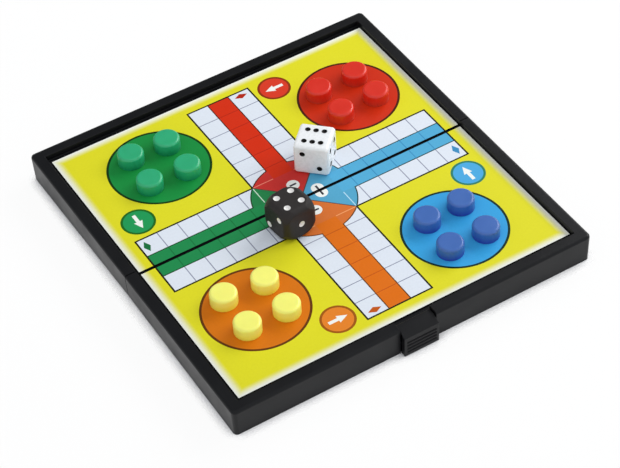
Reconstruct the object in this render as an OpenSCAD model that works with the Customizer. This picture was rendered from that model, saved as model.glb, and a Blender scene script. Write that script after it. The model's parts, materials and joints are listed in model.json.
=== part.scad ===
// Folding travel ludo board: two hollow plastic half trays hinged at the fold, with a printed
// sheet over a steel plate on each half, magnetic pegs, two dice and a sliding catch.
// Millimetres. +Z is up, X runs along the fold, and the catch is on the front, -Y, edge.
// The origin is the middle of the outline, on the table; the fold lies at y = fold_y.

/* [Board] */
// Width along the fold
board_w = 162; // [150:1:180]
// Depth of each half, from the fold to its outer edge
half_d = 83.5; // [80:0.5:95]
// Height from the table to the top of the rim
tray_h = 13; // [12:0.5:18]
// Corner radius in plan
corner_r = 2; // [2:0.5:6]
// How far the foot of the outer wall is set in
draft = 0.3; // [0.2:0.1:0.8]
// Rounding of the rim's outer top edge
rim_round = 1.1; // [0.4:0.1:1.8]

/* [Tray] */
// Width of the raised rim
rim_w = 4.8; // [4:0.1:6]
// Height of the rim above the print
rim_up = 2.2; // [1:0.1:3]
// Thickness of the deck
deck_t = 1.6; // [1.2:0.1:2.4]
// Thickness of the outer wall at its foot
wall_t = 2.4; // [1.8:0.1:3]
// Thickness of the wall along the fold
fold_wall_t = 2; // [1.4:0.1:3]
// Gap between the two trays at the fold
fold_gap = 0.4; // [0.2:0.1:1]

/* [Print and steel] */
// Gap between a sheet's ends and the rim
sheet_gap_x = 1.1; // [0.9:0.1:2]
// Gap between a sheet's outer edge and the rim
sheet_gap_y = 2.35; // [0.5:0.05:3]
// Thickness of a printed sheet
sheet_t = 0.3; // [0.2:0.1:0.8]
// Distance from the fold to a sheet's edge
sheet_fold = 0.75; // [0.4:0.05:1.5]
// How far the sheets were laid off centre along X
sheet_shift = 0.6; // [-0.8:0.1:0.8]
// Thickness of a steel plate
plate_t = 0.4; // [0.3:0.1:0.8]
// How far a plate's edge lies inside the sheet's edge
plate_inset = 1.5; // [1:0.5:4]

/* [Yards] */
// Distance from a yard's middle to the nearest edge of the print
yard_near_edge = 28; // [24:0.5:32]
// Distance from a yard's middle to the other edge of its corner
yard_far_edge = 35.2; // [30:0.2:40]
// Half the spacing of the pegs in a yard
peg_grid = 8.9; // [7.5:0.1:10]

/* [Hinge] */
// Outer radius of a knuckle, which is also the height of the hinge axis
knuckle_r = 1.8; // [1.5:0.1:2.2]
// Length of one knuckle
knuckle_len = 7; // [5:0.5:9]
// Gap between neighbouring knuckles
knuckle_gap = 0.3; // [0.2:0.05:0.6]
// Radius of a hinge pin
pin_r = 0.8; // [0.6:0.05:0.9]
// Clearance round a pin
pin_fit = 0.05; // [0.02:0.01:0.09]
// Distance from the side of the board to the middle of each hinge
hinge_edge = 33; // [30:1:50]
// Clearance round a turning knuckle and along the closing edge
fold_clear = 0.3; // [0.2:0.05:0.5]

/* [Latch] */
// Width of the catch
latch_w = 15.6; // [10:0.2:24]
// How far the catch stands out from the tray
latch_out = 2.3; // [2:0.1:4]
// Downward travel of the catch
latch_travel = 4; // [3:0.5:5]
// How far its arm lies below the top of the rim
latch_drop = 1.2; // [0.6:0.1:1.4]
// Thickness of its arm
latch_arm_t = 1.5; // [1.2:0.1:2]
// Thickness of its inner leg
latch_leg_t = 1.2; // [1:0.1:1.4]
// Clearance round the catch
latch_fit = 0.3; // [0.2:0.05:0.5]
// Height of the hook at its foot
hook_h = 1.2; // [0.8:0.1:1.5]
// Depth of the snap between the hook and the rib
snap = 0.3; // [0.2:0.05:0.4]
// Depth of the pocket in each wall that the hook and the rib lie in
pocket_deep = 0.9; // [0.8:0.05:1.2]
// Spacing of the grip ridges
ridge_pitch = 1.7; // [1.2:0.1:2.4]

/* [Pegs] */
// Radius of a peg
peg_r = 5.55; // [4:0.05:6.5]
// Height of a peg
peg_h = 5.6; // [4.5:0.1:9]
// Rounding of a peg's top edge
peg_edge = 1.2; // [0.3:0.1:1.6]
// Radius of a peg's magnet
magnet_r = 3; // [2:0.1:3.4]
// Thickness of a magnet
magnet_t = 2; // [1:0.1:3]
// Clearance round a magnet
magnet_fit = 0.05; // [0.02:0.01:0.09]
// How far a magnet is set in from the foot of its peg
magnet_in = 0.3; // [0.1:0.1:0.6]

/* [Dice] */
// Edge length of the white die
white_s = 14.7; // [13.5:0.1:16]
// Edge length of the black die
black_s = 15.5; // [14.5:0.1:16]
// Edge rounding of the white die
white_round = 1.6; // [0.8:0.1:2]
// Edge rounding of the black die
black_round = 2.3; // [1.8:0.1:3]
// Radius of the ball that trims the corners of the white die
white_ball = 11.5; // [11.2:0.1:12]
// Radius of the ball that trims the corners of the black die
black_ball = 10.4; // [10.2:0.1:11]
// Spacing of the pips
pip_pitch = 3.45; // [3.2:0.05:3.6]
// Radius of a pip on the white die
white_pip = 1.15; // [0.8:0.05:1.4]
// Radius of a pip on the black die
black_pip = 1.35; // [0.8:0.05:1.5]
// Depth of a pip
pip_deep = 0.5; // [0.3:0.1:0.8]

/* [Hidden] */
$fn = 64;

// A hair's width, for the thin slices that a shell is drawn over and for cuts that run past a face
slice = 0.01;
past = 1;

// Heights above the table
sheet_z = tray_h - rim_up;
plate_z = sheet_z - sheet_t - plate_t;
deck_z = plate_z - deck_t;
axis_z = knuckle_r;

// Inner faces, measured from the fold and from the middle
rim_in_x = board_w / 2 - rim_w;
rim_in_y = half_d - rim_w;
wall_in_x = board_w / 2 - draft - wall_t;
wall_in_y = half_d - draft - wall_t;
fold_in_y = fold_gap / 2 + fold_wall_t;

// The sheets, and how far their print reaches from the middle
sheet_w = 2 * (rim_in_x - sheet_gap_x);
sheet_d = rim_in_y - sheet_gap_y - sheet_fold;
print_x = sheet_w / 2;
print_y = sheet_fold + sheet_d;

// The catch stands out at the front, so the middle of the outline lies half its reach before the fold
fold_y = latch_out / 2;

// Knuckles of one hinge, taken in turn by the rear tray and the front tray
knuckles = 5;
knuckle_pitch = knuckle_len + knuckle_gap;
hinge_len = knuckles * knuckle_pitch - knuckle_gap;
hinge_x = board_w / 2 - hinge_edge;

// The catch, measured outwards from the fold and up from the table
arm_top = tray_h - latch_drop;
shoulder_drop = 2;
arm_z = arm_top - latch_arm_t;
leg_out = wall_in_y - latch_fit;
leg_in = leg_out - latch_leg_t;
leg_z = latch_travel + latch_fit;
plate_in = half_d + latch_fit / 2;
plate_out = half_d + latch_out;
plate_top = arm_top - shoulder_drop;
shoulder = latch_out + 1;
foot_z = latch_fit / 3;
notch_z = arm_z - latch_travel;
barb = 0.6;
barb_h = 1;
rib_h = 1;
rib_z = latch_travel - foot_z - hook_h - 2 * latch_fit - rib_h;
rib_out = half_d - snap / 3;
hook_in = rib_out - snap;
notch_w = latch_w + 2 * latch_fit;
pocket_h = latch_travel + foot_z + latch_fit;
ridge_border = 1.2;
ridge_deep = 0.5;
ridges = floor((plate_top - foot_z - 2 * ridge_border) / ridge_pitch);

// Where each peg stands, as set down by hand: how far off its corner of the yard's two by two grid
green_off = [[0.4, 0.9], [-0.4, 0.1], [1.1, 0.8], [-0.2, 0]];
red_off = [[-0.2, 0.2], [0, 1.5], [-0.9, -1.2], [-0.7, -0.8]];
blue_off = [[0.4, -0.5], [-0.7, -0.7], [1.2, -0.9], [-0.2, -0.4]];
yellow_off = [[0.8, 0.8], [0.2, 0.6], [0.7, 0.9], [0.4, -0.5]];

// Where the dice were thrown, from the middle of the print, and how far they turned
white_at = [14.5, 14.6];
white_yaw = -45;
black_at = [-13.2, -11.5];
black_yaw = 6;

black_plastic = [0.1, 0.1, 0.11];
hues = [["green", [0.2, 0.67, 0.5]], ["red", [0.87, 0.2, 0.16]], ["blue", [0.27, 0.4, 0.73]],
        ["yellow", [0.96, 0.94, 0.45]]];

// Puts what is drawn about the fold into the part's own frame
module at_fold() {
    translate([0, fold_y, 0]) children();
}

// Both halves' outline as one blank: foot set in by the draft, top edge rounded in three steps
module board_blank() {
    hull()
        for (level = concat([[0, draft]], [for (turn = [0:30:90])
                [tray_h - slice - rim_round * (1 - sin(turn)), rim_round * (1 - cos(turn))]]))
            for (sx = [-1, 1])
                for (sy = [-1, 1])
                    translate([sx * (board_w / 2 - corner_r), sy * (half_d - corner_r), level[0]])
                        cylinder(r = corner_r - level[1], h = slice, $fn = 48);
}

// A rod along X about the hinge axis
module hinge_rod(x, r, len) {
    translate([x - len / 2, 0, axis_z]) rotate([0, 90, 0]) cylinder(r = r, h = len);
}

// Middle of knuckle i on the hinge at side
function knuckle_x(side, i) = side * hinge_x + (i - (knuckles - 1) / 2) * knuckle_pitch;

// One half, drawn on the rear side of the fold. turn says which knuckles are its own.
module half_tray(turn) {
    difference() {
        union() {
            difference() {
                board_blank();
                translate([-board_w, -half_d - past, -past])
                    cube([2 * board_w, half_d + past + fold_gap / 2, tray_h + 2 * past]);
                translate([-rim_in_x, -past, plate_z]) cube([2 * rim_in_x, rim_in_y + past, tray_h]);
                translate([-wall_in_x, fold_in_y, -past])
                    cube([2 * wall_in_x, wall_in_y - fold_in_y, deck_z + past]);
                closing_edge();
                translate([-notch_w / 2, half_d - pocket_deep, -past])
                    cube([notch_w, pocket_deep + past, pocket_h + past]);
                for (side = [-1, 1])
                    for (i = [0:knuckles - 1])
                        if (i % 2 != turn)
                            hinge_rod(knuckle_x(side, i), knuckle_r + fold_clear,
                                      knuckle_len + 2 * knuckle_gap);
            }
            for (side = [-1, 1])
                for (i = [0:knuckles - 1])
                    if (i % 2 == turn)
                        hinge_rod(knuckle_x(side, i), knuckle_r, knuckle_len);
        }
        for (side = [-1, 1])
            hinge_rod(side * hinge_x, pin_r + pin_fit, hinge_len + 2 * past);
    }
}

// The walls' lower edges rise from the foot to the hinge axis, so that the halves close on one plane
module closing_edge() {
    rotate([90, 0, 90])
        linear_extrude(2 * board_w, center = true)
            polygon([[-past, -past], [wall_in_y, -past], [wall_in_y, 0],
                     [fold_gap / 2, axis_z + fold_clear / 2], [-past, axis_z + fold_clear / 2]]);
}

module rear_tray() {
    color(black_plastic)
        at_fold() {
            half_tray(0);
            translate([-latch_w / 2, wall_in_y + wall_t / 2, rib_z])
                cube([latch_w, rib_out - wall_in_y - wall_t / 2, rib_h]);
        }
}

module front_tray() {
    color(black_plastic)
        at_fold()
            mirror([0, 1, 0])
                difference() {
                    half_tray(1);
                    translate([-notch_w / 2, leg_in - latch_fit, notch_z])
                        cube([notch_w, half_d, tray_h]);
                    translate([-notch_w / 2, rim_in_y - past, plate_z])
                        cube([notch_w, half_d, tray_h]);
                }
}

module steel_plate(side) {
    color("silver")
        at_fold()
            translate([sheet_shift - sheet_w / 2 + plate_inset, 0, plate_z])
                mirror([0, side < 0 ? 1 : 0, 0])
                    translate([0, sheet_fold + plate_inset, 0])
                        cube([sheet_w - 2 * plate_inset, sheet_d - 2 * plate_inset, plate_t]);
}

module print_sheet(side) {
    color([0.88, 0.87, 0.2])
        at_fold()
            translate([sheet_shift - sheet_w / 2, 0, plate_z + plate_t])
                mirror([0, side < 0 ? 1 : 0, 0])
                    translate([0, sheet_fold, 0])
                        cube([sheet_w, sheet_d, sheet_t]);
}

module hinge_pin(side) {
    color("lightsteelblue") at_fold() hinge_rod(side * hinge_x, pin_r, hinge_len);
}

// The catch straddles the front wall: a ridged plate outside, an arm over the top, a barbed leg inside
module latch_slider() {
    color(black_plastic)
        at_fold()
            mirror([0, 1, 0])
                difference() {
                    rotate([90, 0, 90])
                        linear_extrude(latch_w, center = true)
                            polygon([[leg_in, leg_z], [leg_out, leg_z], [leg_out, arm_z],
                                     [plate_in, arm_z], [plate_in, foot_z + hook_h],
                                     [hook_in, foot_z + hook_h], [hook_in, foot_z],
                                     [plate_out, foot_z], [plate_out, plate_top],
                                     [plate_out - shoulder, arm_top], [leg_in, arm_top],
                                     [leg_in, deck_z], [leg_in - barb, deck_z],
                                     [leg_in, deck_z - barb_h]]);
                    for (i = [0:ridges - 1])
                        translate([ridge_border - latch_w / 2, plate_out - ridge_deep,
                                   foot_z + ridge_border + (i + 0.25) * ridge_pitch])
                            cube([latch_w - 2 * ridge_border, ridge_deep + past, ridge_pitch / 2]);
                }
}

// Middle of the yard for hue h: green and red on the rear half, blue and yellow on the front half
function yard(h) = [[yard_far_edge - print_x, print_y - yard_near_edge],
                    [print_x - yard_near_edge, print_y - yard_far_edge],
                    [print_x - yard_far_edge, yard_near_edge - print_y],
                    [yard_near_edge - print_x, yard_far_edge - print_y]][h];

function peg_off(h, i) = [green_off, red_off, blue_off, yellow_off][h][i];

module at_peg(h, i) {
    corner = [i % 2 == 0 ? -peg_grid : peg_grid, i < 2 ? -peg_grid : peg_grid];
    place = yard(h) + corner + peg_off(h, i);
    at_fold() translate([sheet_shift + place[0], place[1], sheet_z]) children();
}

// A round peg with a rolled top edge and a blind socket for its magnet
module peg(h, i) {
    color(hues[h][1])
        at_peg(h, i)
            difference() {
                rotate_extrude() {
                    square([peg_r, peg_h - peg_edge]);
                    square([peg_r - peg_edge, peg_h]);
                    translate([peg_r - peg_edge, peg_h - peg_edge])
                        intersection() {
                            circle(peg_edge);
                            square(peg_edge);
                        }
                }
                translate([0, 0, -past])
                    cylinder(r = magnet_r + magnet_fit, h = magnet_in + magnet_t + past);
            }
}

module magnet(h, i) {
    color("dimgray")
        at_peg(h, i)
            translate([0, 0, magnet_in]) cylinder(r = magnet_r, h = magnet_t);
}

// A square bar with rounded edges, as long as a die is wide
module rounded_bar(s, edge) {
    flat = s - 2 * edge;
    linear_extrude(s + 2 * past, center = true)
        union() {
            square([flat, s], center = true);
            square([s, flat], center = true);
            for (sx = [-1, 1])
                for (sy = [-1, 1])
                    translate([sx * flat / 2, sy * flat / 2]) circle(edge);
        }
}

// Places of n pips on a face, in steps of their spacing from its middle
function pip_places(n) = [
    [[0, 0]],
    [[-1, 1], [1, -1]],
    [[-1, 1], [0, 0], [1, -1]],
    [[-1, -1], [-1, 1], [1, -1], [1, 1]],
    [[-1, -1], [-1, 1], [0, 0], [1, -1], [1, 1]],
    [[-1, -1], [0, -1], [1, -1], [-1, 1], [0, 1], [1, 1]]][n - 1];

// Dimples for n pips on the face that turn brings to the top
module pips(s, n, r, turn) {
    ball = (r * r + pip_deep * pip_deep) / (2 * pip_deep);
    rotate(turn)
        for (place = pip_places(n))
            translate([place[0] * pip_pitch, place[1] * pip_pitch, s / 2 - pip_deep + ball])
                sphere(ball);
}

// A die with its faces in the order top, bottom, left, right, front, back
module die(s, edge, trim, r, faces) {
    translate([0, 0, s / 2])
        difference() {
            intersection() {
                rounded_bar(s, edge);
                rotate([90, 0, 0]) rounded_bar(s, edge);
                rotate([0, 90, 0]) rounded_bar(s, edge);
                sphere(trim);
            }
            pips(s, faces[0], r, [0, 0, 0]);
            pips(s, faces[1], r, [180, 0, 0]);
            pips(s, faces[2], r, [0, -90, 0]);
            pips(s, faces[3], r, [0, 90, 0]);
            pips(s, faces[4], r, [90, 0, 0]);
            pips(s, faces[5], r, [-90, 0, 0]);
        }
}

module at_die(place, yaw) {
    at_fold() translate([sheet_shift + place[0], place[1], sheet_z]) rotate(yaw) children();
}

module white_die() {
    color("white")
        at_die(white_at, white_yaw)
            die(white_s, white_round, white_ball, white_pip, [6, 1, 3, 4, 2, 5]);
}

module black_die() {
    color([0.15, 0.13, 0.13])
        at_die(black_at, black_yaw)
            die(black_s, black_round, black_ball, black_pip, [4, 3, 2, 5, 1, 6]);
}

rear_tray();
front_tray();
steel_plate(1);  // rear_steel_plate
steel_plate(-1);  // front_steel_plate
print_sheet(1);  // rear_print_sheet
print_sheet(-1);  // front_print_sheet
hinge_pin(-1);  // hinge_pin_left
hinge_pin(1);  // hinge_pin_right
latch_slider();
white_die();
black_die();
for (h = [0:3])
    for (i = [0:3]) {
        peg(h, i);
        magnet(h, i);
    }
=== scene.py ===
"""A folding travel ludo board, open for play, with its magnetic pegs and dice set out.

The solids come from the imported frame. This script gives each of them its finish, prints the two
sheets, and sets up the room and the camera.
"""
import json
import math

import bmesh
import bpy
from mathutils import Matrix, Vector
from mathutils.geometry import delaunay_2d_cdt

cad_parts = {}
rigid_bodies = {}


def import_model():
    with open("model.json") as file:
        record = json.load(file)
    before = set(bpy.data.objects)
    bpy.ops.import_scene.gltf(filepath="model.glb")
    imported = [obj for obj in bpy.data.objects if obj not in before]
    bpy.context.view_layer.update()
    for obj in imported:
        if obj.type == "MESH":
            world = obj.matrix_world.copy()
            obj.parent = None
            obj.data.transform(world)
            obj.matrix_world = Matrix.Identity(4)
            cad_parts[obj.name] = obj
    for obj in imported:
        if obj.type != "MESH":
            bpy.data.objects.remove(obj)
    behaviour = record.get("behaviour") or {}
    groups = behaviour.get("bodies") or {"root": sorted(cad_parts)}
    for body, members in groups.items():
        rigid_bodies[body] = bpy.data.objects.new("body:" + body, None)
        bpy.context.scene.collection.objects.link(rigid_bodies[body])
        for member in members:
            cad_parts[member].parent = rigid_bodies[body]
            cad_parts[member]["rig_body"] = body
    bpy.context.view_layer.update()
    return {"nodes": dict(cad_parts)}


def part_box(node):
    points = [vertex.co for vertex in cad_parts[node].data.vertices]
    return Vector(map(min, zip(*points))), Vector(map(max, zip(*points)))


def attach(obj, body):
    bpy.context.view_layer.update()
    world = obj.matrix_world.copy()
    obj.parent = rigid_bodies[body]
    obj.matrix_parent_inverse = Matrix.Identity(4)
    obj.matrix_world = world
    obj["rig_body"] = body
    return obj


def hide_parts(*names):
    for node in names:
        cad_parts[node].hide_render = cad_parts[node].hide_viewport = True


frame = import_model()

# Camera: a long lens, well above the board's near left corner and leaning a little to one side.
# Its place is measured from the middle of the print, where the fold crosses the sheets.
MM = 0.001
sheet_low, sheet_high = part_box("rear_print_sheet")
front_sheet_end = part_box("front_print_sheet")[1].y
print_middle = Vector(((sheet_low.x + sheet_high.x) / 2, (sheet_low.y + front_sheet_end) / 2,
                       sheet_high.z))
camera_place = print_middle + Vector((-293.4, -534.2, 594.1)) * MM
camera_azimuth, camera_tilt, camera_roll = -28.9, 44.73, -3.85
focal_length, sensor_width = 123.14, 36
nearest_seen, furthest_seen = 0.01, 20

camera = bpy.data.objects.new("camera", bpy.data.cameras.new("camera"))
camera.data.sensor_fit = "HORIZONTAL"
camera.data.sensor_width = sensor_width
camera.data.lens = focal_length
camera.data.clip_start, camera.data.clip_end = nearest_seen, furthest_seen
camera.matrix_world = (
    Matrix.Translation(camera_place)
    @ Matrix.Rotation(math.radians(camera_azimuth), 4, "Z")
    @ Matrix.Rotation(math.radians(camera_tilt), 4, "X")
    @ Matrix.Rotation(math.radians(camera_roll), 4, "Z")
)
bpy.context.scene.collection.objects.link(camera)
bpy.context.scene.camera = camera
bpy.context.scene.view_settings.view_transform = "Standard"


# Room: a clear table that takes a faint white haze of light and shadow, over a white studio, with
# two soft lamps. To the camera and in reflections the table shows white, and what is folded down
# below its top still shows through.
def linear(hex_colour):
    """An sRGB hex colour as the linear RGBA that Blender's sockets hold."""
    parts = [int(hex_colour[i:i + 2], 16) / 255 for i in (1, 3, 5)]
    return [c / 12.92 if c <= 0.04045 else ((c + 0.055) / 1.055) ** 2.4 for c in parts] + [1.0]


def add_node(tree, kind, inputs=None, **settings):
    """A node of that kind in tree, with its settings made and its inputs set or linked."""
    node = tree.nodes.new(kind)
    for name, value in settings.items():
        setattr(node, name, value)
    for name, value in (inputs or {}).items():
        if isinstance(value, bpy.types.NodeSocket):
            tree.links.new(value, node.inputs[name])
        else:
            node.inputs[name].default_value = value
    return node


def empty_material(name):
    """A new material with no nodes yet, and its tree."""
    material = bpy.data.materials.new(name)
    material.use_nodes = True
    material.node_tree.nodes.clear()
    return material, material.node_tree


table_reach = 3.0
table_corners = ((-1, -1), (1, -1), (1, 1), (-1, 1))
table_mesh = bpy.data.meshes.new("table")
table_mesh.from_pydata([(x * table_reach, y * table_reach, 0) for x, y in table_corners],
                       [], [(0, 1, 2, 3)])
table = bpy.data.objects.new("table", table_mesh)
bpy.context.scene.collection.objects.link(table)

# To the lamps the table is matt white. To the eye it is clear in the open, and matt where something
# stands over it, which keeps the shadow. A row says how far round to look for that, how open to the
# sky the table is where it stays matt and where it is clearest, and how clear it is there. The
# first is for what stands near, the second for what all but touches it.
table_clearing = ((60 * MM, 0.08, 0.4, 0.92), (6 * MM, 0.4, 0.9, 1.0))
sky_samples = 8
table_sheet, tree = empty_material("frosted_clear_table")
rays = add_node(tree, "ShaderNodeLightPath").outputs
clearness = rays["Is Camera Ray"]
for ray in ("Is Glossy Ray", "Is Transmission Ray"):
    clearness = add_node(tree, "ShaderNodeMath", {0: clearness, 1: rays[ray]},
                         operation="MAXIMUM").outputs[0]
for reach, matt_to, clear_from, clearest in table_clearing:
    sky = add_node(tree, "ShaderNodeAmbientOcclusion", {"Distance": reach}, samples=sky_samples)
    in_the_open = add_node(tree, "ShaderNodeMapRange", {
        "Value": sky.outputs["AO"], "From Min": matt_to, "From Max": clear_from,
        "To Max": clearest}, interpolation_type="SMOOTHSTEP")
    clearness = add_node(tree, "ShaderNodeMath",
                         {0: clearness, 1: in_the_open.outputs["Result"]},
                         operation="MULTIPLY").outputs[0]
matt = add_node(tree, "ShaderNodeBsdfDiffuse", {"Color": linear("#FBFBFB")})
clear = add_node(tree, "ShaderNodeBsdfTransparent")
both = add_node(tree, "ShaderNodeMixShader",
                {0: clearness, 1: matt.outputs[0], 2: clear.outputs[0]})
add_node(tree, "ShaderNodeOutputMaterial", {"Surface": both.outputs[0]})
table_mesh.materials.append(table_sheet)

# The studio is bright on the camera's side and dims towards the back. To the camera, and in what
# mirrors the floor, it is plain white.
room_front, room_back, towards_back, bright_up_to = 0.95, 0.1, (0.48, 0.88, 0.0), -0.2
studio = bpy.data.worlds.new("studio")
bpy.context.scene.world = studio
studio.use_nodes = True
studio.node_tree.nodes.clear()
tree = studio.node_tree
way = add_node(tree, "ShaderNodeTexCoord").outputs["Generated"]
behind = add_node(tree, "ShaderNodeVectorMath", {0: way, 1: towards_back}, operation="DOT_PRODUCT")
level = add_node(tree, "ShaderNodeMapRange", {
    "Value": behind.outputs["Value"], "From Min": bright_up_to, "From Max": 1.0,
    "To Min": room_front, "To Max": room_back})
room = add_node(tree, "ShaderNodeBackground",
                {"Color": linear("#F4F6FA"), "Strength": level.outputs["Result"]})
white = add_node(tree, "ShaderNodeBackground", {"Color": (1, 1, 1, 1), "Strength": 1.0})
rays = add_node(tree, "ShaderNodeLightPath").outputs
mirrored = add_node(tree, "ShaderNodeMath",
                    {0: rays["Is Glossy Ray"], 1: rays["Is Transmission Ray"]}, operation="MAXIMUM")
upward = add_node(tree, "ShaderNodeSeparateXYZ", {0: way}).outputs["Z"]
downward = add_node(tree, "ShaderNodeMath", {0: upward, 1: 0.0}, operation="LESS_THAN")
below = add_node(tree, "ShaderNodeMath", {0: mirrored.outputs[0], 1: downward.outputs[0]},
                 operation="MULTIPLY")
backdrop = add_node(tree, "ShaderNodeMath", {0: rays["Is Camera Ray"], 1: below.outputs[0]},
                    operation="MAXIMUM")
surroundings = add_node(tree, "ShaderNodeMixShader",
                        {0: backdrop.outputs[0], 1: room.outputs[0], 2: white.outputs[0]})
add_node(tree, "ShaderNodeOutputWorld", {"Surface": surroundings.outputs[0]})

for name, place, width, length, power in (("key_lamp", (1.03, 0.2, 0.68), 1.2, 0.5, 11.0),
                                          ("top_lamp", (-0.15, 0.1, 1.3), 0.9, 0.9, 0.8)):
    lamp = bpy.data.objects.new(name, bpy.data.lights.new(name, "AREA"))
    lamp.data.shape = "RECTANGLE"
    lamp.data.size, lamp.data.size_y = width, length
    lamp.data.energy = power
    lamp.location = place
    lamp.rotation_euler = (-Vector(place)).to_track_quat("-Z", "Y").to_euler()
    bpy.context.scene.collection.objects.link(lamp)


# Half trays: two hollow injection mouldings in black ABS, with a raised rim, a deck and hinge
# knuckles. The mould was spark-eroded, which leaves a fine even grain, and every outer edge is
# slightly rounded.
tray_edge, hinge_reach = 0.3 * MM, 3.5 * MM
# Noise runs from 0 to 1, but mostly keeps to this part of that.
noise_span = {"From Min": 0.3, "From Max": 0.7}


def moulded_black(name, colour, gloss_low, gloss_high):
    """Black ABS from an eroded mould: near-black, half gloss, with a fine grain and uneven sheen.

    The real grain is about a tenth of a millimetre. It is drawn coarser, so that it shows.
    """
    grain_size, grain_depth, grain_strength, sheen_size = 0.35 * MM, 0.012 * MM, 0.6, 14 * MM
    material, tree = empty_material(name)
    where = add_node(tree, "ShaderNodeTexCoord").outputs["Object"]
    grain = add_node(tree, "ShaderNodeTexNoise",
                     {"Vector": where, "Scale": 1 / grain_size, "Detail": 2.0})
    patches = add_node(tree, "ShaderNodeTexNoise",
                       {"Vector": where, "Scale": 1 / sheen_size, "Detail": 3.0})
    sheen = add_node(tree, "ShaderNodeMapRange", {
        "Value": patches.outputs["Fac"], **noise_span, "To Min": gloss_low, "To Max": gloss_high})
    tone = add_node(tree, "ShaderNodeMix", {
        "Factor": grain.outputs["Fac"], "A": linear(colour[0]), "B": linear(colour[1])},
        data_type="RGBA")
    bumps = add_node(tree, "ShaderNodeBump", {
        "Height": grain.outputs["Fac"], "Distance": grain_depth, "Strength": grain_strength})
    skin = add_node(tree, "ShaderNodeBsdfPrincipled", {
        "Base Color": tone.outputs["Result"], "Roughness": sheen.outputs["Result"],
        "Normal": bumps.outputs["Normal"], "IOR": 1.52, "Specular IOR Level": 0.2})
    add_node(tree, "ShaderNodeOutputMaterial", {"Surface": skin.outputs["BSDF"]})
    return material


def dressed_copy(node, material, edge, keep_sharp=lambda place: False):
    """A copy of a CAD node with its triangles merged and its edges rounded to that radius.

    With an edge of 0, the edges stay as the solid has them.
    """
    weld, flat_within = 0.001 * MM, math.radians(0.2)
    rounded_from, smooth_below = math.radians(40), math.radians(35)
    bm = bmesh.new()
    bm.from_mesh(frame["nodes"][node].data)
    bmesh.ops.remove_doubles(bm, verts=bm.verts, dist=weld)
    bmesh.ops.dissolve_limit(bm, angle_limit=flat_within, verts=bm.verts, edges=bm.edges)
    weight = bm.edges.layers.float.new("bevel_weight_edge")
    for line in bm.edges:
        crease = line.calc_face_angle(0.0)
        if crease > rounded_from and not keep_sharp((line.verts[0].co + line.verts[1].co) / 2):
            line[weight] = 1.0
        line.smooth = crease < smooth_below
    for face in bm.faces:
        face.smooth = True
        face.material_index = 0
    mesh = bpy.data.meshes.new(node + "_finished")
    bm.to_mesh(mesh)
    bm.free()
    mesh.materials.append(material)
    piece = bpy.data.objects.new(node + "_finished", mesh)
    bpy.context.scene.collection.objects.link(piece)
    if edge:
        rounding = piece.modifiers.new("rounding", "BEVEL")
        rounding.limit_method = "WEIGHT"
        rounding.width, rounding.segments = edge, 2
    shading = piece.modifiers.new("shading", "WEIGHTED_NORMAL")
    shading.keep_sharp = True
    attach(piece, frame["nodes"][node]["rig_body"])
    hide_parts(node)
    return piece


def by_the_fold(place):
    """Whether an edge is by the fold, where the small knuckles leave no room for a rounding."""
    return abs(place.y - print_middle.y) < hinge_reach


tray_black = moulded_black("eroded_black_abs", ("#0B0C0E", "#111215"), 0.32, 0.44)
for node in ("rear_tray", "front_tray"):
    dressed_copy(node, tray_black, tray_edge, keep_sharp=by_the_fold)


# Steel plates: thin tinplate, glued on the decks under the sheets, for the magnets to hold to.
# Hinge pins: straight lengths of bright drawn wire, pushed through the knuckles of both trays.
def bright_steel(name, colour, streak_length, streak_width, roughness):
    """Rolled or drawn steel: grey metal with fine streaks along the way it was worked."""
    uneven = 0.1
    material, tree = empty_material(name)
    where = add_node(tree, "ShaderNodeTexCoord").outputs["Object"]
    along = add_node(tree, "ShaderNodeMapping", {
        "Vector": where, "Scale": (1 / streak_length, 1 / streak_width, 1 / streak_width)})
    streaks = add_node(tree, "ShaderNodeTexNoise",
                       {"Vector": along.outputs["Vector"], "Scale": 1.0, "Detail": 3.0})
    rough = add_node(tree, "ShaderNodeMapRange", {
        "Value": streaks.outputs["Fac"], "To Min": roughness - uneven,
        "To Max": roughness + uneven})
    metal = add_node(tree, "ShaderNodeBsdfPrincipled", {
        "Base Color": linear(colour), "Metallic": 1.0, "Roughness": rough.outputs["Result"]})
    add_node(tree, "ShaderNodeOutputMaterial", {"Surface": metal.outputs["BSDF"]})
    return material


def refinish(node, material):
    """Change the material of a CAD node that keeps its own mesh."""
    mesh = frame["nodes"][node].data
    mesh.materials.clear()
    mesh.materials.append(material)


tinplate = bright_steel("rolled_tinplate", "#B4B6B8", 20 * MM, 0.5 * MM, 0.35)
pin_wire = bright_steel("drawn_wire", "#B9BBBE", 8 * MM, 0.2 * MM, 0.28)
for node, metal in (("rear_steel_plate", tinplate), ("front_steel_plate", tinplate),
                    ("hinge_pin_left", pin_wire), ("hinge_pin_right", pin_wire)):
    refinish(node, metal)


# Printed sheets: one ludo board printed on card, laminated, cut along the fold and glued down in
# halves. Sizes are in millimetres from the middle of the print, apart from the fade; each half was
# laid a little out from the fold.
laid_out = 1.53
arm_half, arm_end, column_half = 14.64, 68.5, 4.9
cell_rows = (58.9, 49.7, 40.5, 31.1, 21.7)
yard_at, yard_radius = (47.1, 39.8), 21.25
start_at, start_radius, arrow_half, arrow_width = (24.0, 62.1), 6.65, 4.2, 1.9
centre_radius = arm_half * math.sqrt(2)
column_foot = math.sqrt(centre_radius ** 2 - column_half ** 2)
pale_line_end = arm_half * 0.97
spot_out, spot_radius, bar_half, bar_width = 7.2, 2.7, 1.5, 0.9
diamond_at, diamond_half = (9.8, 65.7), (3.0, 1.5)
outline, yard_line, hairline, edge_line = 0.75, 1.0, 0.42, 0.48
sector_from, sector_to = 45, 135
arc_points, spot_points, start_points, yard_points = 24, 32, 48, 96
fade_start, fade_end = -0.4 * MM, 3.9 * MM

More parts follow.
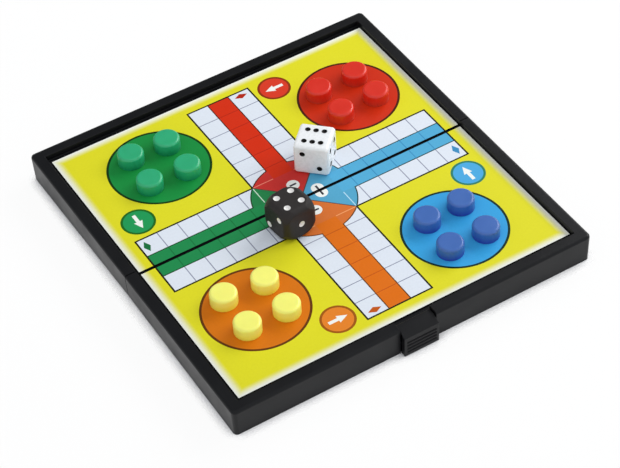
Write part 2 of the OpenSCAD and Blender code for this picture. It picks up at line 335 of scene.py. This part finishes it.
# The core ink is not the card's colour: it is a near-black painted shade for the cut edge and back.
paper_inks = {"paper": "#F5F7F1", "yellow": "#E2DD24", "cell": "#E1E8F1", "key_line": "#1E1C08",
              "rule": "#8D92A6", "mark": "#30303A", "sector_line": "#4A423A", "card_edge_shade": "#1B1B20"}
hue_inks = {
    "red": {"fill": "#D52E0A", "yard": "#CE2F10", "sector": "#CC322D", "start": "#DA3A22",
            "pale": "#EE8672", "rule": "#B52409", "ring": "#8A3206", "line": "#4A1A04"},
    "green": {"fill": "#1D8B4C", "yard": "#168F3F", "sector": "#238349", "start": "#1E9A55",
              "pale": "#CDE8D2", "rule": "#12703A", "ring": "#1A6A1C", "line": "#0A3A08"},
    "orange": {"fill": "#E1700C", "yard": "#D9750A", "sector": "#DB7330", "start": "#E88426",
               "pale": "#F2A56A", "rule": "#C4570A", "ring": "#A05808", "line": "#643606"},
    "blue": {"fill": "#53ACD5", "yard": "#38A5E0", "sector": "#54A7CB", "start": "#4CABDF",
             "pale": "#B9E2F2", "rule": "#3A8DBE", "ring": "#2B7F66", "line": "#062E22"}}


def block(x0, y0, x1, y1):
    return [(x0, y0), (x1, y0), (x1, y1), (x0, y1)]


def disc(middle, radius, points):
    turns = [2 * math.pi * i / points for i in range(points)]
    return [(middle[0] + radius * math.cos(t), middle[1] + radius * math.sin(t)) for t in turns]


def arc(radius):
    """The part of a circle round the print's middle that bounds one sector."""
    turns = [math.radians(sector_from + (sector_to - sector_from) * i / arc_points)
             for i in range(arc_points + 1)]
    return [(radius * math.cos(t), radius * math.sin(t)) for t in turns]


def stroke(start, end, width):
    start, end = Vector(start), Vector(end)
    along = (end - start).normalized()
    side = Vector((-along.y, along.x)) * width / 2
    return [tuple(p) for p in (start - side, end - side, end + side, start + side)]


def arrow(tip, tail, width):
    """A plain arrow from tail to tip, whose head is half its length."""
    head_share, shaft_share = 0.5, 0.4
    tip, tail = Vector(tip), Vector(tail)
    along = tip - tail
    side = Vector((-along.y, along.x)).normalized() * width
    shaft = side * shaft_share
    neck = tail + along * head_share
    return [tuple(p) for p in (tip, neck + side, neck + shaft, tail + shaft,
                               tail - shaft, neck - shaft, neck - side)]


def quarter_print(hue):
    """One player's quarter, as it lies at the rear: the layer, ink and outline of each area."""
    inner, column_end = arm_half - outline / 2, arm_end - outline / 2
    areas = [("lines", "rule", stroke((-inner, row), (inner, row), hairline)) for row in cell_rows]
    areas.append(("centre", hue + "_sector", [(0, 0)] + arc(centre_radius)))
    rim_outside, rim_inside = arc(centre_radius + edge_line / 2), arc(centre_radius - edge_line / 2)
    areas.append(("columns", hue + "_line", rim_outside + rim_inside[::-1]))
    areas.append(("columns", "sector_line", stroke((0, 0), (arm_half, arm_half), hairline)))
    for ink, half, foot in (("_line", column_half + edge_line / 2, column_foot),
                            ("_fill", column_half - edge_line / 2, arm_half)):
        areas.append(("columns", hue + ink, block(-half, foot, half, column_end)))
    for row in cell_rows:
        across = stroke((-column_half, row), (column_half, row), hairline)
        areas.append(("columns", hue + "_rule", across))
    for side in (-1, 1):
        pale_line = (side * pale_line_end, arm_half), (side * column_half, arm_half)
        areas.append(("columns", hue + "_pale", stroke(*pale_line, hairline)))
    areas.append(("yards", "paper", disc((0, spot_out), spot_radius, spot_points)))
    areas.append(("yards", "mark", stroke((-bar_half, spot_out), (bar_half, spot_out), bar_width)))
    diamond = [(diamond_at[0] + diamond_half[0] * x, diamond_at[1] + diamond_half[1] * y)
               for x, y in ((1, 0), (0, 1), (-1, 0), (0, -1))]
    areas.append(("yards", hue + "_rule", diamond))
    for middle, radius, ink, ring, points in (
            (yard_at, yard_radius, "_yard", "_line", yard_points),
            (start_at, start_radius, "_start", "_ring", start_points)):
        areas.append(("yards", hue + ring, disc(middle, radius + yard_line / 2, points)))
        areas.append(("yards", hue + ink, disc(middle, radius - yard_line / 2, points)))
    tip, tail = ((start_at[0] + way * arrow_half, start_at[1]) for way in (-1, 1))
    areas.append(("yards", "paper", arrow(tip, tail, arrow_width)))
    return areas


def board_print():
    """The whole board as inked areas, in the order they are laid: later ones cover earlier ones."""
    areas = []
    for ink, grow in (("key_line", outline / 2), ("cell", -outline / 2)):
        half, end = arm_half + grow, arm_end + grow
        areas += [(ink, block(-half, -end, half, end)), (ink, block(-end, -half, end, half))]
    layers = {name: [] for name in ("lines", "centre", "columns", "yards")}
    for quarter_turns, hue in enumerate(("red", "green", "orange", "blue")):
        for layer, ink, points in quarter_print(hue):
            for _ in range(quarter_turns):
                points = [(-y, x) for x, y in points]
            layers[layer].append((ink, points))
    return areas + [area for layer in layers.values() for area in layer]


def laminated_ink(name, colour, edge_colour=None):
    """Offset ink on coated card under a thin film: even colour, a faint mottle and a soft gloss.

    With an edge colour, the ink fades out to that along the outer edges of the whole print.
    """
    mottle_size, film_size = 0.9 * MM, 6 * MM
    weakest_ink, gloss_low, gloss_high = 0.965, 0.36, 0.46
    material, tree = empty_material("printed_" + name)
    where = add_node(tree, "ShaderNodeTexCoord").outputs["Object"]
    mottle = add_node(tree, "ShaderNodeTexNoise",
                      {"Vector": where, "Scale": 1 / mottle_size, "Detail": 3.0})
    film = add_node(tree, "ShaderNodeTexNoise",
                    {"Vector": where, "Scale": 1 / film_size, "Detail": 2.0})
    value = add_node(tree, "ShaderNodeMapRange", {
        "Value": mottle.outputs["Fac"], **noise_span, "To Min": weakest_ink, "To Max": 1.0})
    flat = linear(colour)
    if edge_colour:
        print_reach = Vector((sheet_high.x - print_middle.x, sheet_high.y - print_middle.y, 1.0))
        from_middle = add_node(tree, "ShaderNodeVectorMath", {0: where, 1: print_middle},
                               operation="SUBTRACT")
        outward = add_node(tree, "ShaderNodeVectorMath", {0: from_middle.outputs[0]},
                           operation="ABSOLUTE")
        inward = add_node(tree, "ShaderNodeVectorMath", {0: print_reach, 1: outward.outputs[0]},
                          operation="SUBTRACT")
        sides = add_node(tree, "ShaderNodeSeparateXYZ", {0: inward.outputs[0]}).outputs
        nearest = add_node(tree, "ShaderNodeMath", {0: sides["X"], 1: sides["Y"]},
                           operation="MINIMUM")
        strength = add_node(tree, "ShaderNodeMapRange", {
            "Value": nearest.outputs[0], "From Min": fade_start, "From Max": fade_end},
            interpolation_type="SMOOTHSTEP")
        flat = add_node(tree, "ShaderNodeMix", {
            "Factor": strength.outputs["Result"], "A": linear(edge_colour), "B": flat},
            data_type="RGBA").outputs["Result"]
    tone = add_node(tree, "ShaderNodeHueSaturation",
                    {"Color": flat, "Value": value.outputs["Result"]})
    gloss = add_node(tree, "ShaderNodeMapRange", {
        "Value": film.outputs["Fac"], **noise_span, "To Min": gloss_low, "To Max": gloss_high})
    ink = add_node(tree, "ShaderNodeBsdfPrincipled", {
        "Base Color": tone.outputs["Color"], "Roughness": gloss.outputs["Result"], "IOR": 1.46,
        "Specular IOR Level": 0.2})
    add_node(tree, "ShaderNodeOutputMaterial", {"Surface": ink.outputs["BSDF"]})
    return material


inks = {name: laminated_ink(name, colour) for name, colour in paper_inks.items()
        if name != "yellow"}
inks.update({f"{hue}_{use}": laminated_ink(f"{hue}_{use}", colour)
             for hue, uses in hue_inks.items() for use, colour in uses.items()})
inks["yellow"] = laminated_ink("yellow_ground", paper_inks["yellow"],
                               edge_colour=paper_inks["paper"])
ink_order = list(inks)

# The areas of each half are cut along all their outlines, and each cut patch takes the last ink
# laid over it. The card's edge and back take a near-black ink: painted shade for the fold gap.
inside_only, cut_tolerance = 1, 1e-4
for half, body, side in (("rear_print_sheet", "rear_half", 1),
                         ("front_print_sheet", "front_half", -1)):
    low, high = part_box(half)
    origin = print_middle + Vector((0, side * laid_out * MM, 0))
    cut = [((x - origin.x) / MM, (y - origin.y) / MM)
           for x, y in block(low.x, low.y, high.x, high.y)]
    areas = [("yellow", cut)] + board_print()
    corners, outlines = [], []
    for _, points in areas:
        outlines.append(list(range(len(corners), len(corners) + len(points))))
        corners += [Vector(p) for p in points]
    for loop in outlines:
        ring = [corners[i] for i in loop]
        if sum(a.x * b.y - b.x * a.y for a, b in zip(ring, ring[1:] + ring[:1])) < 0:
            loop.reverse()
    places, _, triangles, _, _, covers = delaunay_2d_cdt(corners, [], outlines, inside_only,
                                                         cut_tolerance, True)
    # The cutter gives its triangles in no fixed order, so they are put in order of their places.
    patches = []
    for triangle, cover in zip(triangles, covers):
        if 0 in cover:
            points = [tuple(places[i]) for i in triangle]
            first = points.index(min(points))
            patches.append((points[first:] + points[:first], areas[max(cover)][0]))

    bm = bmesh.new()
    tops, feet = {}, {}
    for points, ink in sorted(patches):
        for x, y in points:
            if (x, y) not in tops:
                tops[x, y] = bm.verts.new((origin.x + x * MM, origin.y + y * MM, high.z))
        bm.faces.new([tops[p] for p in points]).material_index = ink_order.index(ink)
    rim = [line.verts[:] for line in bm.edges if line.is_boundary]
    for vert in (vert for line in rim for vert in line):
        if vert not in feet:
            feet[vert] = bm.verts.new((vert.co.x, vert.co.y, low.z))
    walls = [bm.faces.new((start, end, feet[end], feet[start])) for start, end in rim]
    foot = [line for line in bm.edges if line.is_boundary]
    for face in walls + bmesh.ops.contextual_create(bm, geom=foot)["faces"]:
        face.material_index = ink_order.index("card_edge_shade")
    bmesh.ops.recalc_face_normals(bm, faces=bm.faces)
    mesh = bpy.data.meshes.new(half + "_laminated")
    bm.to_mesh(mesh)
    bm.free()
    for name in ink_order:
        mesh.materials.append(inks[name])
    card = bpy.data.objects.new(half + "_laminated", mesh)
    bpy.context.scene.collection.objects.link(card)
    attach(card, body)
    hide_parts(half)


# Catch: a small black moulding that straddles the front wall and slides down to lock the folded
# board. Its outer face is ribbed for the thumb, and its edges are a little crisper than the trays'.
catch_edge = 0.22 * MM
catch_black = moulded_black("catch_black_abs", ("#0D0D0F", "#131416"), 0.34, 0.46)
dressed_copy("latch_slider", catch_black, catch_edge)


# Pegs: low round pegs moulded in coloured polystyrene, with a rolled top edge and a magnet pressed
# in the foot. The plastic lets light in, so the sides glow. Low down the colour is painted darker
# towards the foot: painted shade for the shadow round the foot.
def moulded_polystyrene(name, colour, foot, cloud, low, high):
    """Coloured polystyrene: clear colour, soft gloss, cloudy inside, painted shade high to low."""
    flow_size, grain_size, grain_depth, grain_strength = 5 * MM, 0.5 * MM, 0.002 * MM, 0.4
    weakest_dye, gloss_low, gloss_high, scatter = 0.95, 0.28, 0.36, 3 * MM
    material, tree = empty_material(name)
    where = add_node(tree, "ShaderNodeTexCoord").outputs["Object"]
    flow = add_node(tree, "ShaderNodeTexNoise",
                    {"Vector": where, "Scale": 1 / flow_size, "Detail": 3.0})
    grain = add_node(tree, "ShaderNodeTexNoise",
                     {"Vector": where, "Scale": 1 / grain_size, "Detail": 2.0})
    height = add_node(tree, "ShaderNodeSeparateXYZ", {0: where}).outputs["Z"]
    # Painted shade: the colour runs from the top colour at high down to the darker foot colour at
    # low.
    foot_shade_fade = add_node(tree, "ShaderNodeMapRange",
                     {"Value": height, "From Min": low, "From Max": high},
                     interpolation_type="SMOOTHSTEP")
    tone = add_node(tree, "ShaderNodeMix", {
        "Factor": foot_shade_fade.outputs["Result"], "A": linear(foot), "B": linear(colour)},
        data_type="RGBA")
    value = add_node(tree, "ShaderNodeMapRange", {
        "Value": flow.outputs["Fac"], **noise_span, "To Min": weakest_dye, "To Max": 1.0})
    skin = add_node(tree, "ShaderNodeHueSaturation",
                    {"Color": tone.outputs["Result"], "Value": value.outputs["Result"]})
    gloss = add_node(tree, "ShaderNodeMapRange", {
        "Value": flow.outputs["Fac"], **noise_span, "To Min": gloss_low, "To Max": gloss_high})
    bumps = add_node(tree, "ShaderNodeBump", {
        "Height": grain.outputs["Fac"], "Distance": grain_depth, "Strength": grain_strength})
    plastic = add_node(tree, "ShaderNodeBsdfPrincipled", {
        "Base Color": skin.outputs["Color"], "Roughness": gloss.outputs["Result"],
        "Normal": bumps.outputs["Normal"], "IOR": 1.55, "Specular IOR Level": 0.4,
        "Subsurface Weight": cloud, "Subsurface Radius": (1.0, 0.8, 0.6),
        "Subsurface Scale": scatter})
    add_node(tree, "ShaderNodeOutputMaterial", {"Surface": plastic.outputs["BSDF"]})
    return material


def matt_ferrite():
    """Sintered ferrite: dark grey, dull and slightly gritty. The grit is drawn coarse, to show."""
    grit_size, grit_depth = 0.3 * MM, 0.01 * MM
    material, tree = empty_material("sintered_ferrite")
    where = add_node(tree, "ShaderNodeTexCoord").outputs["Object"]
    grit = add_node(tree, "ShaderNodeTexNoise",
                    {"Vector": where, "Scale": 1 / grit_size, "Detail": 4.0})
    tone = add_node(tree, "ShaderNodeMix", {
        "Factor": grit.outputs["Fac"], "A": linear("#2A2A2C"), "B": linear("#4A4A4C")},
        data_type="RGBA")
    bumps = add_node(tree, "ShaderNodeBump",
                     {"Height": grit.outputs["Fac"], "Distance": grit_depth})
    stone = add_node(tree, "ShaderNodeBsdfPrincipled", {
        "Base Color": tone.outputs["Result"], "Roughness": 0.7, "Normal": bumps.outputs["Normal"]})
    add_node(tree, "ShaderNodeOutputMaterial", {"Surface": stone.outputs["BSDF"]})
    return material


# Each colour's look: its top, its foot (a darker painted-shade colour), and how cloudy the plastic
# is.
peg_looks = {"green": ("#2AAF79", "#149462", 0.5), "red": ("#DB2A16", "#CC3A26", 0.4),
             "blue": ("#3E6AB4", "#3044AA", 0.3), "yellow": ("#FFFC7C", "#FFFC58", 0.3)}
# The painted shade at the foot fades out at this share of the peg's height.
pegs_each, foot_shade_share = 4, 0.7
peg_low, peg_high = (corner.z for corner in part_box("green_peg_1"))
foot_shade_up_to = peg_low + foot_shade_share * (peg_high - peg_low)
ferrite = matt_ferrite()
for hue, look in peg_looks.items():
    plastic = moulded_polystyrene(hue + "_polystyrene", *look, peg_low, foot_shade_up_to)
    for number in range(1, pegs_each + 1):
        dressed_copy(f"{hue}_peg_{number}", plastic, 0)
        refinish(f"{hue}_magnet_{number}", ferrite)


# Dice: a white and a black cube of tumbled urea resin, about 15 mm across, with paint in the
# dimpled pips. The paint is a thin film that lines each dimple, so the pips are one shape set on
# all six faces.
def pip_film_tree():
    """Geometry Nodes: a shallow bowl on every pip point, turned to face outwards from the die."""
    bowl_sides, bowl_rings = 28, 6
    tree = bpy.data.node_groups.new("pip_film", "GeometryNodeTree")
    sockets = tree.interface
    sockets.new_socket("Pip points", in_out="INPUT", socket_type="NodeSocketGeometry")
    for name in ("Pip radius", "Bowl radius", "Film thickness"):
        sockets.new_socket(name, in_out="INPUT", socket_type="NodeSocketFloat")
    sockets.new_socket("Paint", in_out="INPUT", socket_type="NodeSocketMaterial")
    sockets.new_socket("Film", in_out="OUTPUT", socket_type="NodeSocketGeometry")
    given = add_node(tree, "NodeGroupInput").outputs
    cone = add_node(tree, "GeometryNodeMeshCone", {
        "Vertices": bowl_sides, "Side Segments": bowl_rings, "Radius Top": 0.0,
        "Radius Bottom": given["Pip radius"], "Depth": 1 * MM}, fill_type="NONE")
    position = add_node(tree, "GeometryNodeInputPosition")
    place = add_node(tree, "ShaderNodeSeparateXYZ", {0: position.outputs[0]}).outputs
    flat = add_node(tree, "ShaderNodeCombineXYZ", {"X": place["X"], "Y": place["Y"]})
    out = add_node(tree, "ShaderNodeVectorMath", {0: flat.outputs[0]}, operation="LENGTH")

    def ball_depth_at(reach):
        """How deep the bowl's ball lies below its middle, that far out from the pip's axis."""
        squares = [add_node(tree, "ShaderNodeMath", {0: v, 1: v}, operation="MULTIPLY").outputs[0]
                   for v in (given["Bowl radius"], reach)]
        left = add_node(tree, "ShaderNodeMath", {0: squares[0], 1: squares[1]},
                        operation="SUBTRACT")
        return add_node(tree, "ShaderNodeMath", {0: left.outputs[0]}, operation="SQRT").outputs[0]

    drop = add_node(tree, "ShaderNodeMath", {
        0: ball_depth_at(given["Pip radius"]), 1: ball_depth_at(out.outputs["Value"])},
        operation="SUBTRACT")
    lift = add_node(tree, "ShaderNodeMath", {0: drop.outputs[0], 1: given["Film thickness"]},
                    operation="ADD")
    bowl_at = add_node(tree, "ShaderNodeCombineXYZ",
                       {"X": place["X"], "Y": place["Y"], "Z": lift.outputs[0]})
    bowl = add_node(tree, "GeometryNodeSetPosition",
                    {"Geometry": cone.outputs["Mesh"], "Position": bowl_at.outputs[0]})
    outward = add_node(tree, "GeometryNodeInputNamedAttribute", {"Name": "outward"},
                       data_type="FLOAT_VECTOR")
    turn = add_node(tree, "FunctionNodeAlignRotationToVector",
                    {"Vector": outward.outputs["Attribute"]}, axis="Z")
    spread = add_node(tree, "GeometryNodeInstanceOnPoints", {
        "Points": given["Pip points"], "Instance": bowl.outputs[0], "Rotation": turn.outputs[0]})
    solid = add_node(tree, "GeometryNodeRealizeInstances", {"Geometry": spread.outputs[0]})
    smooth = add_node(tree, "GeometryNodeSetShadeSmooth", {"Geometry": solid.outputs[0]})
    painted = add_node(tree, "GeometryNodeSetMaterial",
                       {"Geometry": smooth.outputs[0], "Material": given["Paint"]})
    add_node(tree, "NodeGroupOutput", {"Film": painted.outputs[0]})
    return tree


def tumbled_resin(name, colour, deep, roughness, shine, cloud=0.0):
    """Urea resin polished by tumbling: solid colour, soft gloss, faint handling marks."""
    mark_size, scatter, smoother, rougher = 1.5 * MM, 4 * MM, 0.05, 0.08
    material, tree = empty_material(name)
    where = add_node(tree, "ShaderNodeTexCoord").outputs["Object"]
    marks = add_node(tree, "ShaderNodeTexNoise",
                     {"Vector": where, "Scale": 1 / mark_size, "Detail": 4.0})
    tone = add_node(tree, "ShaderNodeMix", {
        "Factor": marks.outputs["Fac"], "A": linear(deep), "B": linear(colour)}, data_type="RGBA")
    gloss = add_node(tree, "ShaderNodeMapRange", {
        "Value": marks.outputs["Fac"], **noise_span, "To Min": roughness - smoother,
        "To Max": roughness + rougher})
    resin = add_node(tree, "ShaderNodeBsdfPrincipled", {
        "Base Color": tone.outputs["Result"], "Roughness": gloss.outputs["Result"], "IOR": 1.55,
        "Specular IOR Level": shine, "Subsurface Weight": cloud,
        "Subsurface Radius": (1.0, 1.0, 1.0), "Subsurface Scale": scatter})
    add_node(tree, "ShaderNodeOutputMaterial", {"Surface": resin.outputs["BSDF"]})
    return material


# The faces in order are the top, bottom, left, right, front and back of a die before its yaw.
quarter = math.pi / 2
face_turns = [Matrix.Identity(3), Matrix.Rotation(2 * quarter, 3, "X"),
              Matrix.Rotation(-quarter, 3, "Y"), Matrix.Rotation(quarter, 3, "Y"),
              Matrix.Rotation(quarter, 3, "X"), Matrix.Rotation(-quarter, 3, "X")]
pip_places = {1: [(0, 0)], 2: [(-1, 1), (1, -1)], 3: [(-1, 1), (0, 0), (1, -1)],
              4: [(-1, -1), (-1, 1), (1, -1), (1, 1)],
              5: [(-1, -1), (-1, 1), (0, 0), (1, -1), (1, 1)],
              6: [(-1, -1), (0, -1), (1, -1), (-1, 1), (0, 1), (1, 1)]}
pip_pitch, pip_depth, film_thickness = 3.45 * MM, 0.5 * MM, 0.02 * MM
pip_film = pip_film_tree()
white_resin = tumbled_resin("white_urea", "#F4F6F7", "#EFF2F3", 0.26, 0.4, cloud=0.4)
black_resin = tumbled_resin("black_urea", "#2E2A29", "#272322", 0.5, 0.2)
pip_black = tumbled_resin("pip_paint_black", "#070707", "#050505", 0.45, 0.1)
pip_white = tumbled_resin("pip_paint_white", "#EAE8E5", "#DEDCD9", 0.4, 0.3)

for node, body, die_size, yaw, pip_radius, faces, resin, paint in (
        ("white_die", "white_die_body", 14.7 * MM, -45, 1.15 * MM, (6, 1, 3, 4, 2, 5),
         white_resin, pip_black),
        ("black_die", "black_die_body", 15.5 * MM, 6, 1.35 * MM, (4, 3, 2, 5, 1, 6),
         black_resin, pip_white)):
    dressed_copy(node, resin, 0)
    low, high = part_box(node)
    middle = (low + high) / 2
    stand = Matrix.Rotation(math.radians(yaw), 3, "Z")
    points, outward = [], []
    for count, turn in zip(faces, face_turns):
        for across, up in pip_places[count]:
            on_top = Vector((across * pip_pitch, up * pip_pitch, die_size / 2))
            points.append(middle + stand @ turn @ on_top)
            outward.append(stand @ turn @ Vector((0, 0, 1)))
    mesh = bpy.data.meshes.new(node + "_pips")
    mesh.from_pydata(points, [], [])
    mesh.attributes.new("outward", "FLOAT_VECTOR", "POINT").data.foreach_set(
        "vector", [c for way in outward for c in way])
    pips = bpy.data.objects.new(node + "_pips", mesh)
    bpy.context.scene.collection.objects.link(pips)
    film = pips.modifiers.new("film", "NODES")
    film.node_group = pip_film
    bowl_radius = (pip_radius ** 2 + pip_depth ** 2) / (2 * pip_depth)
    values = {"Pip radius": pip_radius, "Bowl radius": bowl_radius,
              "Film thickness": film_thickness, "Paint": paint}
    for socket in pip_film.interface.items_tree:
        if socket.name in values:
            film[socket.identifier] = values[socket.name]
    bpy.context.view_layer.update()
    evaluated = pips.evaluated_get(bpy.context.evaluated_depsgraph_get())
    pips.data = bpy.data.meshes.new_from_object(evaluated)
    pips.modifiers.clear()
    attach(pips, body)
